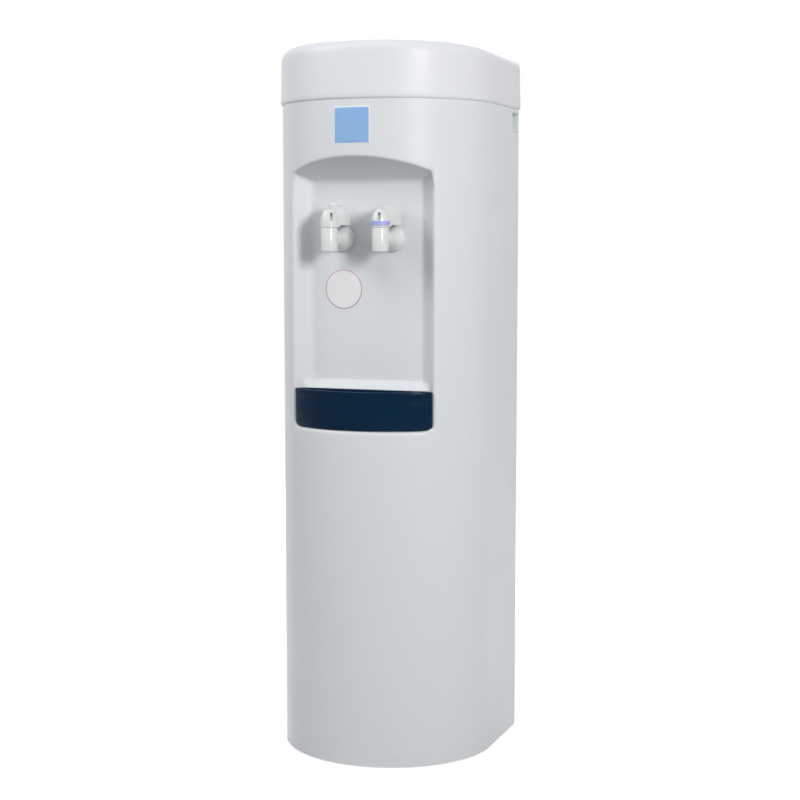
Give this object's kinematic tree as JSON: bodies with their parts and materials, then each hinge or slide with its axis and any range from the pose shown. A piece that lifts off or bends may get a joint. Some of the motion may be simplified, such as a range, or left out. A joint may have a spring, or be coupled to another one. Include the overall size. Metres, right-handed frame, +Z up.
{
  "type": "bottleless water cooler",
  "caption": "Floor-standing bottleless hot and cold water cooler with a bow-fronted white cabinet, cap-like lid, recess with self-closing taps and a dark blue drip tray.",
  "frame": {"origin": "on the floor under the middle of the bounding box", "axes": "+Z up, the taps and the recess face -Y, +X is to the right seen from the front"},
  "size_m": [0.3084, 0.3204, 0.99],
  "materials": {
    "cabinet_white": "semi-gloss, fine grain",
    "lid_white": "semi-gloss, fine grain",
    "navy_plastic": "glossy",
    "blue_film": "glossy",
    "disc_film": "satin",
    "grip_grey": "satin",
    "tap_white": "glossy",
    "tap_steel": "bright",
    "silicone": "matt",
    "sheet_steel": "zinc coated",
    "tank_steel": "brushed",
    "foam": "foam",
    "inner_white": "satin",
    "float_orange": "satin",
    "copper": "drawn tube",
    "black_metal": "semi-gloss paint",
    "rubber_grey": "matt",
    "black_plastic": "fine grain",
    "heater_mica": "satin",
    "phenolic": "satin",
    "hose": "satin",
    "red_plastic": "glossy"
  },
  "bodies": {
    "cooler": {"cabinet": "cabinet_white", "base_pan": "sheet_steel", "feet": "rubber_grey", "rear_panel": "sheet_steel", "rear_panel_screws": "tap_steel", "blue_plate": "blue_film", "round_disc": "disc_film", "hand_grips": "grip_grey", "cold_tap_body": "tap_white", "cold_tap_bonnet": "tap_white", "cold_tap_pin": "tap_steel", "cold_tap_nut": "inner_white", "hot_tap_body": "tap_white", "hot_tap_bonnet": "tap_white", "hot_tap_pin": "tap_steel", "hot_tap_nut": "inner_white", "uprights": "sheet_steel", "cold_shelf": "sheet_steel", "hot_shelf": "sheet_steel", "cold_tank": "tank_steel", "cold_insulation": "foam", "cold_cover": "inner_white", "cold_baffle": "inner_white", "evaporator_coil": "copper", "float_valve": "inner_white", "hot_tank": "tank_steel", "hot_jacket": "foam", "heater_band": "heater_mica", "hot_thermostats": "phenolic", "compressor": "black_metal", "grommets": "rubber_grey", "relay_cover": "black_plastic", "filter_drier": "copper", "refrigerant_lines": "copper", "water_lines": "hose", "condenser_coil": "black_metal", "condenser_wires": "black_metal", "condenser_rails": "black_metal", "inlet_fitting": "inner_white", "drain_fitting": "inner_white", "drain_plug": "rubber_grey", "hot_switch_housing": "black_plastic", "cold_thermostat": "black_plastic", "cord_gland": "black_plastic"},
    "lid": {"top_lid": "lid_white"},
    "tray": {"drip_tray": "navy_plastic"},
    "grille": {"drip_grille": "navy_plastic"},
    "cold_lever": {"cold_tap_lever": "tap_white", "cold_tap_strip": "blue_film"},
    "hot_lever": {"hot_tap_lever": "tap_white"},
    "hot_catch": {"hot_safety_catch": "tap_white"},
    "cold_stem": {"cold_tap_stem": "tap_steel", "cold_tap_seat": "silicone", "cold_tap_spring": "tap_steel"},
    "hot_stem": {"hot_tap_stem": "tap_steel", "hot_tap_seat": "silicone", "hot_tap_spring": "tap_steel"},
    "float": {"float_arm": "tap_steel", "float_ball": "float_orange"},
    "rocker": {"hot_switch_rocker": "red_plastic"}
  },
  "joints": [
    {"name": "lid_lift", "type": "slide", "parent": "cooler", "child": "lid", "axis": [0, 0, 1], "range_m": [0, 0.12]},
    {"name": "tray_pull", "type": "slide", "parent": "cooler", "child": "tray", "axis": [0, -1, 0], "range_m": [0, 0.07]},
    {"name": "grille_lift", "type": "slide", "parent": "tray", "child": "grille", "axis": [0, 0, 1], "range_m": [0, 0.05]},
    {"name": "cold_lever_press", "type": "hinge", "parent": "cooler", "child": "cold_lever", "pos_m": [0.037, -0.1405, 0.7525], "axis": [-1, 0, 0], "range_deg": [0, 22], "stiffness_Nm_per_rad": 0.4, "springref_deg": -8.59},
    {"name": "cold_stem_lift", "type": "slide", "parent": "cooler", "child": "cold_stem", "axis": [0, 0, 1], "range_m": [0, 0.0026], "deforming": ["cold_tap_spring"]},
    {"name": "hot_lever_press", "type": "hinge", "parent": "cooler", "child": "hot_lever", "pos_m": [-0.037, -0.1405, 0.7525], "axis": [-1, 0, 0], "range_deg": [0, 22], "stiffness_Nm_per_rad": 0.4, "springref_deg": -8.59},
    {"name": "hot_stem_lift", "type": "slide", "parent": "cooler", "child": "hot_stem", "axis": [0, 0, 1], "range_m": [0, 0.0026], "deforming": ["hot_tap_spring"]},
    {"name": "hot_catch_press", "type": "slide", "parent": "hot_lever", "child": "hot_catch", "axis": [0, 0, -1], "range_m": [0, 0.0025], "stiffness_N_per_m": 400},
    {"name": "float_swing", "type": "hinge", "parent": "cooler", "child": "float", "pos_m": [-0.025, 0.026, 0.8367], "axis": [0, -1, 0], "range_deg": [0, 20]},
    {"name": "hot_switch_rock", "type": "hinge", "parent": "cooler", "child": "rocker", "pos_m": [-0.07, 0.127, 0.82], "axis": [-1, 0, 0], "range_deg": [0, 24]}
  ],
  "couplings": [
    {"joint": "cold_stem_lift", "follows": "cold_lever_press", "m_per_rad": 0.0066},
    {"joint": "hot_stem_lift", "follows": "hot_lever_press", "m_per_rad": 0.0066}
  ]
}
